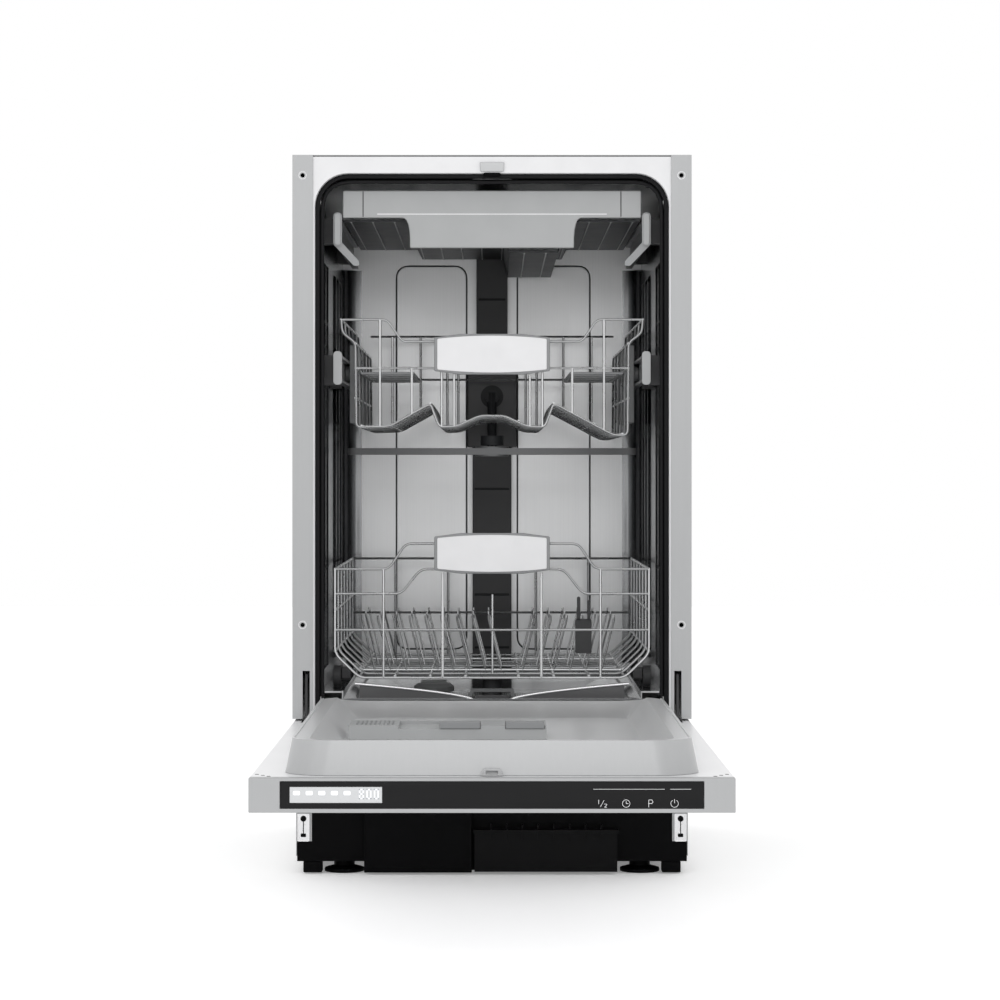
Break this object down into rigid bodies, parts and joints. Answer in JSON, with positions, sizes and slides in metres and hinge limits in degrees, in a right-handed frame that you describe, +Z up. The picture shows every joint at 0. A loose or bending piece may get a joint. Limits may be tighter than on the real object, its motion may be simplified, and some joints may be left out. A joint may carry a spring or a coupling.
{
  "type": "built-in dishwasher",
  "caption": "Slimline fully integrated dishwasher with its door open, wire racks, cutlery tray, spray arms and controls on the door edge.",
  "frame": {"origin": "on the floor, under the middle of the whole machine with its door open", "axes": "+X to the right seen from the front, +Y from the open door towards the rear, +Z up"},
  "size_m": [0.448, 1.195, 0.815],
  "materials": {
    "painted_steel": "satin grey coated sheet",
    "white_plastic": "semi-gloss white",
    "seal_rubber": "matte black",
    "stainless": "bright brushed",
    "black_plastic": "matte black",
    "dark_plastic": "matte dark grey",
    "grey_plastic": "satin light grey",
    "rail_grey": "satin light grey rail with moulded end cap",
    "arm_plastic": "satin mid grey",
    "black_glass": "high gloss black",
    "circuit_board": "green laminate",
    "coated_wire": "satin silver-grey coating"
  },
  "bodies": {
    "cabinet": {"left_side_panel": "painted_steel", "right_side_panel": "painted_steel", "top_cover": "painted_steel", "rear_panel": "painted_steel", "front_frame": "white_plastic", "door_seal": "seal_rubber", "door_latch": "grey_plastic", "tub_wrap": "stainless", "tub_back": "stainless", "tub_floor": "stainless", "rear_duct": "dark_plastic", "left_rack_track": "dark_plastic", "right_rack_track": "dark_plastic", "left_tray_rail": "rail_grey", "right_tray_rail": "rail_grey", "base_tray": "black_plastic", "left_kick_plate": "black_plastic", "right_kick_plate": "black_plastic", "sump": "dark_plastic", "fine_filter_plate": "stainless", "water_softener": "grey_plastic", "circulation_pump": "dark_plastic", "drain_pump": "dark_plastic", "inlet_valve": "white_plastic"},
    "front_left_foot": {"front_left_foot": "black_plastic"},
    "front_right_foot": {"front_right_foot": "black_plastic"},
    "rear_foot": {"rear_foot": "black_plastic"},
    "filter_cup": {"filter_cup": "grey_plastic"},
    "salt_cap": {"salt_cap": "grey_plastic"},
    "door": {"door_outer_panel": "painted_steel", "door_liner": "stainless", "control_fascia": "grey_plastic", "control_glass": "black_glass", "display_board": "circuit_board", "door_strike": "stainless", "left_hinge_arm": "stainless", "right_hinge_arm": "stainless", "dispenser_housing": "grey_plastic"},
    "detergent_lid": {"detergent_lid": "grey_plastic"},
    "rinse_aid_lid": {"rinse_aid_lid": "grey_plastic"},
    "lower_basket": {"lower_basket_frame": "coated_wire", "plate_tines": "coated_wire", "lower_basket_handle": "white_plastic"},
    "front_left_roller": {"front_left_roller": "grey_plastic"},
    "front_right_roller": {"front_right_roller": "grey_plastic"},
    "rear_left_roller": {"rear_left_roller": "grey_plastic"},
    "rear_right_roller": {"rear_right_roller": "grey_plastic"},
    "upper_carriage": {"left_height_adjuster": "grey_plastic", "right_height_adjuster": "grey_plastic"},
    "left_upper_rail": {"left_upper_rail": "rail_grey"},
    "right_upper_rail": {"right_upper_rail": "rail_grey"},
    "upper_basket": {"upper_basket_frame": "coated_wire", "upper_basket_handle": "white_plastic", "upper_feed_pipe": "dark_plastic"},
    "left_cup_shelf": {"left_cup_shelf": "grey_plastic"},
    "right_cup_shelf": {"right_cup_shelf": "grey_plastic"},
    "cutlery_tray": {"cutlery_tray": "dark_plastic", "cutlery_tray_front": "grey_plastic"},
    "lower_spray_arm": {"lower_spray_arm": "arm_plastic"},
    "middle_spray_arm": {"middle_spray_arm": "arm_plastic"}
  },
  "joints": [
    {"name": "door_hinge", "type": "hinge", "parent": "cabinet", "child": "door", "pos_m": [0, 0.0405, 0.177], "axis": [-1, 0, 0], "range_deg": [0, 90]},
    {"name": "detergent_lid_slide", "type": "slide", "parent": "door", "child": "detergent_lid", "axis": [-1, 0, 0], "range_m": [0, 0.041]},
    {"name": "rinse_aid_lid_flip", "type": "hinge", "parent": "door", "child": "rinse_aid_lid", "pos_m": [0.0335, -0.2345, 0.2028], "axis": [-1, 0, 0], "range_deg": [0, 95]},
    {"name": "lower_basket_slide", "type": "slide", "parent": "cabinet", "child": "lower_basket", "axis": [0, 1, 0], "range_m": [-0.38, 0]},
    {"name": "upper_basket_slide", "type": "slide", "parent": "cabinet", "child": "upper_carriage", "axis": [0, 1, 0], "range_m": [-0.36, 0]},
    {"name": "left_upper_rail_slide", "type": "slide", "parent": "cabinet", "child": "left_upper_rail", "axis": [0, 1, 0], "range_m": [-0.18, 0]},
    {"name": "right_upper_rail_slide", "type": "slide", "parent": "cabinet", "child": "right_upper_rail", "axis": [0, 1, 0], "range_m": [-0.18, 0]},
    {"name": "upper_basket_lift", "type": "slide", "parent": "upper_carriage", "child": "upper_basket", "axis": [0, 0, 1], "range_m": [0, 0.03]},
    {"name": "left_cup_shelf_fold", "type": "hinge", "parent": "upper_basket", "child": "left_cup_shelf", "pos_m": [-0.1515, 0.2975, 0.5745], "axis": [0, -1, 0], "range_deg": [0, 85]},
    {"name": "right_cup_shelf_fold", "type": "hinge", "parent": "upper_basket", "child": "right_cup_shelf", "pos_m": [0.1515, 0.2975, 0.5745], "axis": [0, 1, 0], "range_deg": [0, 85]},
    {"name": "cutlery_tray_slide", "type": "slide", "parent": "cabinet", "child": "cutlery_tray", "axis": [0, 1, 0], "range_m": [-0.36, 0]},
    {"name": "lower_spray_arm_spin", "type": "hinge", "parent": "cabinet", "child": "lower_spray_arm", "pos_m": [0, 0.3095, 0.2115], "axis": [0, 0, 1], "continuous": true},
    {"name": "middle_spray_arm_spin", "type": "hinge", "parent": "upper_basket", "child": "middle_spray_arm", "pos_m": [0, 0.3095, 0.48], "axis": [0, 0, 1], "continuous": true},
    {"name": "filter_cup_turn", "type": "hinge", "parent": "cabinet", "child": "filter_cup", "pos_m": [0, 0.2395, 0.1886], "axis": [0, 0, 1], "range_deg": [0, 90]},
    {"name": "salt_cap_turn", "type": "hinge", "parent": "cabinet", "child": "salt_cap", "pos_m": [-0.072, 0.4135, 0.1873], "axis": [0, 0, 1], "range_deg": [0, 270]},
    {"name": "front_left_roller_spin", "type": "hinge", "parent": "lower_basket", "child": "front_left_roller", "pos_m": [-0.1785, 0.1475, 0.224], "axis": [1, 0, 0], "continuous": true},
    {"name": "front_right_roller_spin", "type": "hinge", "parent": "lower_basket", "child": "front_right_roller", "pos_m": [0.1785, 0.1475, 0.224], "axis": [1, 0, 0], "continuous": true},
    {"name": "rear_left_roller_spin", "type": "hinge", "parent": "lower_basket", "child": "rear_left_roller", "pos_m": [-0.1785, 0.4555, 0.224], "axis": [1, 0, 0], "continuous": true},
    {"name": "rear_right_roller_spin", "type": "hinge", "parent": "lower_basket", "child": "rear_right_roller", "pos_m": [0.1785, 0.4555, 0.224], "axis": [1, 0, 0], "continuous": true},
    {"name": "front_left_foot_turn", "type": "hinge", "parent": "cabinet", "child": "front_left_foot", "pos_m": [-0.17, 0.1395, 0.007], "axis": [0, 0, 1], "continuous": true},
    {"name": "front_right_foot_turn", "type": "hinge", "parent": "cabinet", "child": "front_right_foot", "pos_m": [0.17, 0.1395, 0.007], "axis": [0, 0, 1], "continuous": true},
    {"name": "rear_foot_turn", "type": "hinge", "parent": "cabinet", "child": "rear_foot", "pos_m": [0, 0.4995, 0.007], "axis": [0, 0, 1], "continuous": true}
  ],
  "couplings": [
    {"joint": "front_left_roller_spin", "follows": "lower_basket_slide", "rad_per_m": -83.333},
    {"joint": "front_right_roller_spin", "follows": "lower_basket_slide", "rad_per_m": -83.333},
    {"joint": "rear_left_roller_spin", "follows": "lower_basket_slide", "rad_per_m": -83.333},
    {"joint": "rear_right_roller_spin", "follows": "lower_basket_slide", "rad_per_m": -83.333},
    {"joint": "left_upper_rail_slide", "follows": "upper_basket_slide", "ratio": 0.5},
    {"joint": "right_upper_rail_slide", "follows": "upper_basket_slide", "ratio": 0.5}
  ]
}
